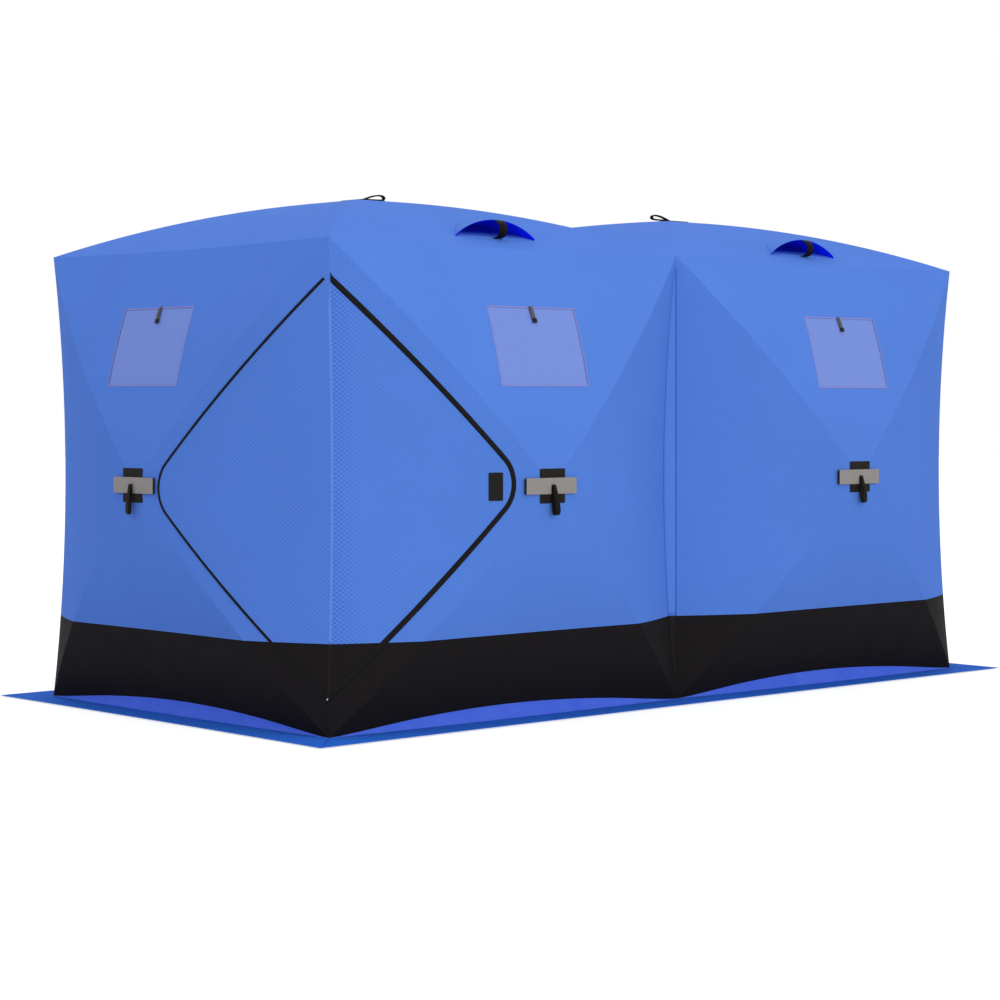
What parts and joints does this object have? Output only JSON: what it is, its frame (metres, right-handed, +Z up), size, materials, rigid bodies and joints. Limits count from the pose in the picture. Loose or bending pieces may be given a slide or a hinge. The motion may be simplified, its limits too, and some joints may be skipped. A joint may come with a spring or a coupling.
{
  "type": "ice fishing hut",
  "caption": "Pop-up ice fishing shelter: padded cloth walls and roof on sprung poles and hubs, with clear windows, corner doors, roof vents and a snow skirt.",
  "frame": {"origin": "centre of the footprint, on the ground", "axes": "+X along the long front towards its right end, -Y out of the front, +Z up"},
  "size_m": [4.0784, 2.2784, 2.0547],
  "materials": {
    "cloth_blue": "padded quilted polyester cloth, satin",
    "cloth_black": "padded black polyester cloth, matt",
    "skirt_blue": "thin coated nylon, slight sheen",
    "clear_vinyl": "clear flexible sheet with a violet tint, glossy",
    "webbing_black": "woven webbing",
    "zip_black": "coil zip and binding tape",
    "patch_black": "coarse reinforcing cloth",
    "reflective_grey": "grey reflective tape",
    "fibreglass": "pultruded rod, satin",
    "hub_plastic": "moulded black plastic",
    "metal": "bright pull tag"
  },
  "bodies": {
    "root": {"front_left_centre_panels": "cloth_blue", "front_left_side_panels": "cloth_blue", "front_left_base_band": "cloth_black", "front_right_centre_panels": "cloth_blue", "front_right_side_panels": "cloth_blue", "front_right_base_band": "cloth_black", "left_end_centre_panels": "cloth_blue", "left_end_side_panels": "cloth_blue", "left_end_base_band": "cloth_black", "back_left_centre_panels": "cloth_blue", "back_left_side_panels": "cloth_blue", "back_left_base_band": "cloth_black", "back_right_centre_panels": "cloth_blue", "back_right_side_panels": "cloth_blue", "back_right_base_band": "cloth_black", "right_end_centre_panels": "cloth_blue", "right_end_side_panels": "cloth_blue", "right_end_base_band": "cloth_black", "roof_left_vent_slopes": "cloth_blue", "roof_left_cross_slopes": "cloth_blue", "roof_right_vent_slopes": "cloth_blue", "roof_right_cross_slopes": "cloth_blue", "front_windows": "clear_vinyl", "back_windows": "clear_vinyl", "end_windows": "clear_vinyl", "window_ties": "webbing_black", "front_door": "cloth_blue", "back_door": "cloth_blue", "door_lower_tips": "cloth_black", "door_zips": "zip_black", "door_pipings": "zip_black", "door_tabs": "webbing_black", "zip_pulls": "metal", "hub_patches": "patch_black", "reflective_strips": "reflective_grey", "pull_straps": "webbing_black", "roof_loops": "webbing_black", "front_poles": "fibreglass", "back_poles": "fibreglass", "end_poles": "fibreglass", "roof_poles": "fibreglass", "hubs": "hub_plastic", "vent_hoods": "cloth_blue", "vent_props": "webbing_black", "front_skirt": "skirt_blue", "back_skirt": "skirt_blue", "left_skirt": "skirt_blue", "right_skirt": "skirt_blue"}
  },
  "joints": []
}
